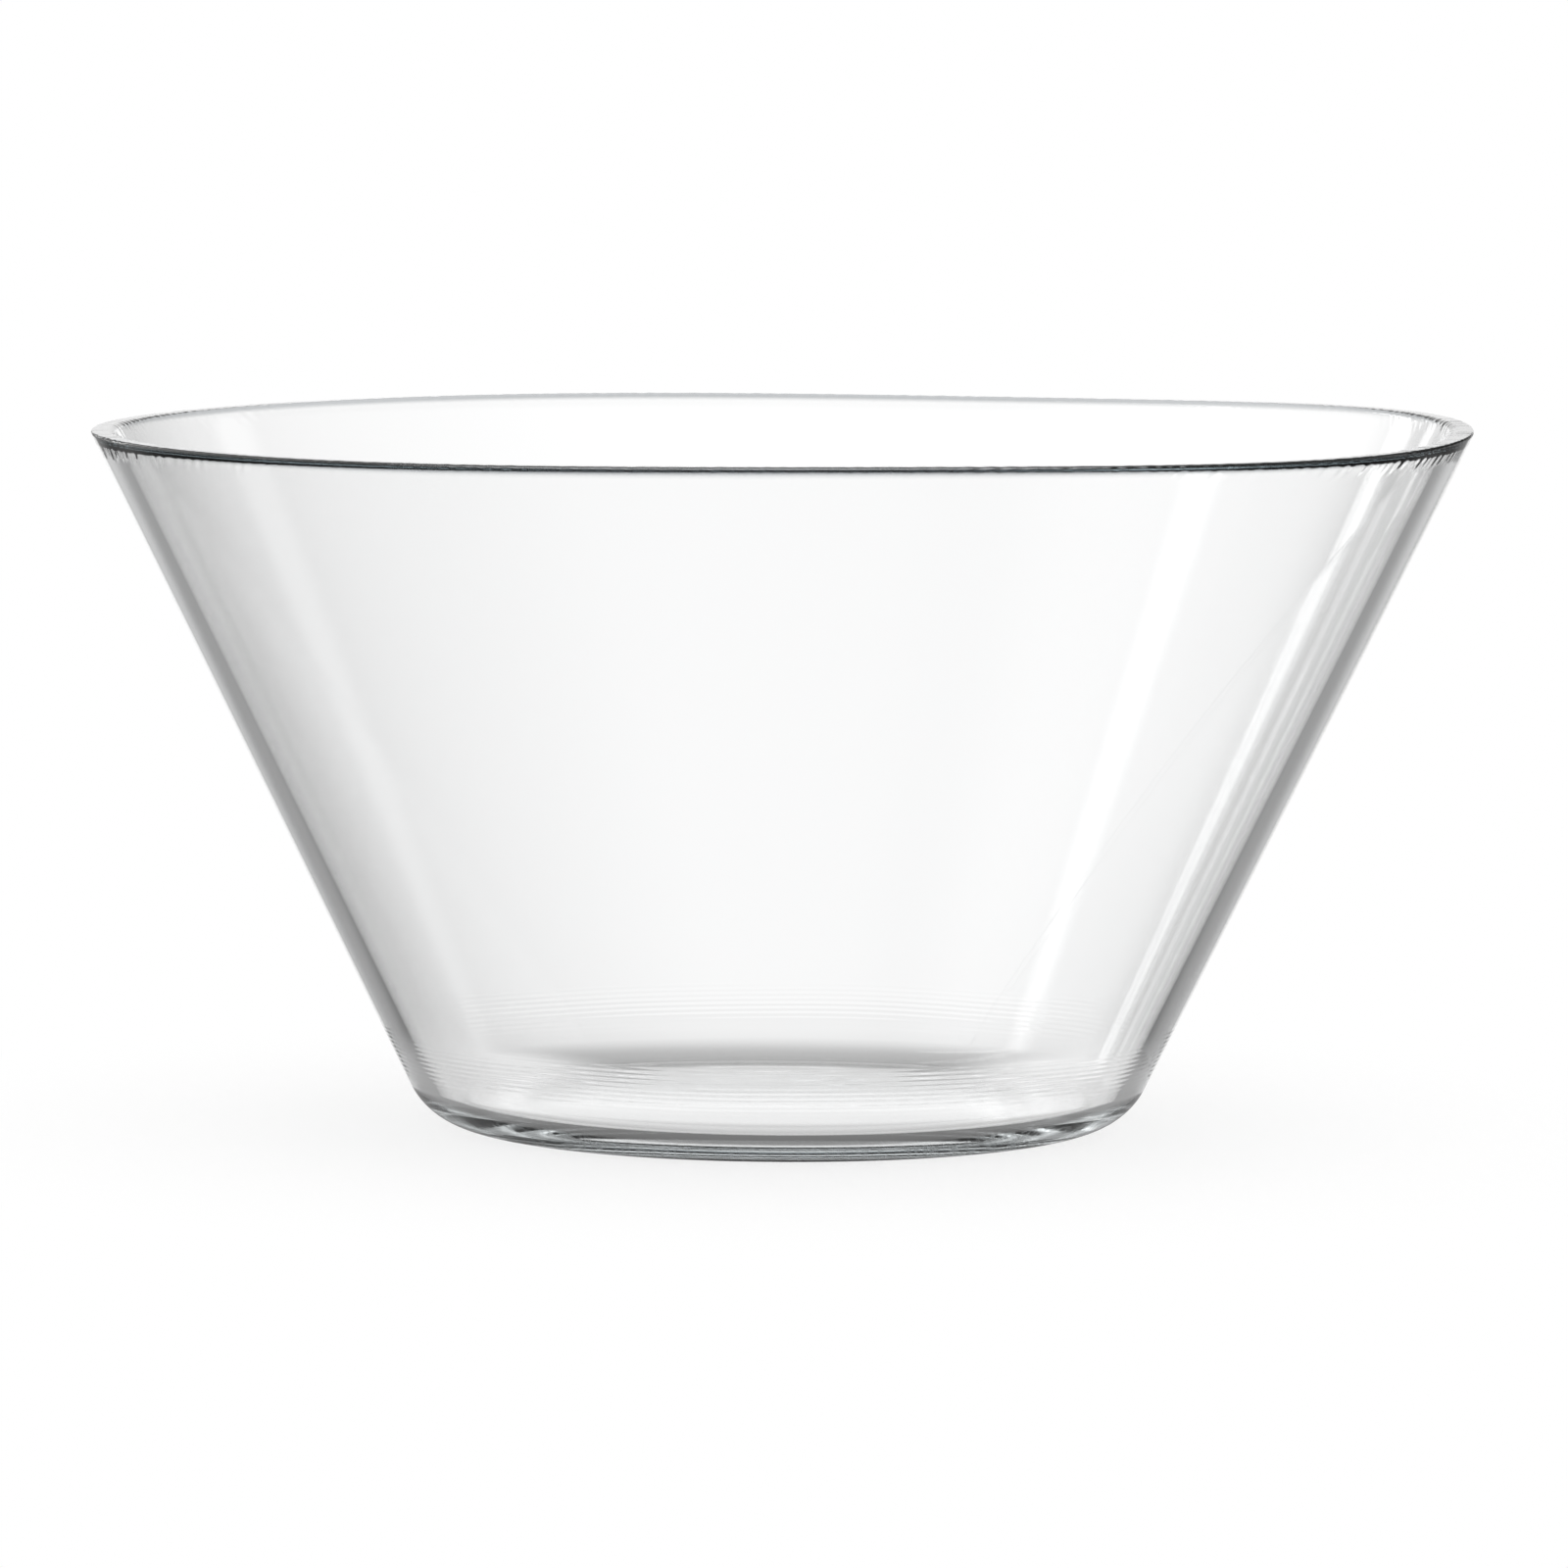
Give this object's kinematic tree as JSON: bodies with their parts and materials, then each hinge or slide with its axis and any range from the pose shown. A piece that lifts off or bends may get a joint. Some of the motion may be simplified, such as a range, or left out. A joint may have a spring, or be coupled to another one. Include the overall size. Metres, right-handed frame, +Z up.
{
  "type": "salad bowl",
  "caption": "Clear glass salad bowl with a straight cone-shaped wall, level-cut rim, rounded heel and flat floor; it stands on a flat foot ring and holds salad or fruit.",
  "frame": {"origin": "middle of the foot, on the table plane", "axes": "+Z up along the bowl's own axis; the bowl is round about Z, so X and Y are free"},
  "size_m": [0.28, 0.2799, 0.142],
  "materials": {
    "clear_glass": "clear, fire-polished"
  },
  "bodies": {
    "root": {"glass_bowl": "clear_glass"}
  },
  "joints": []
}
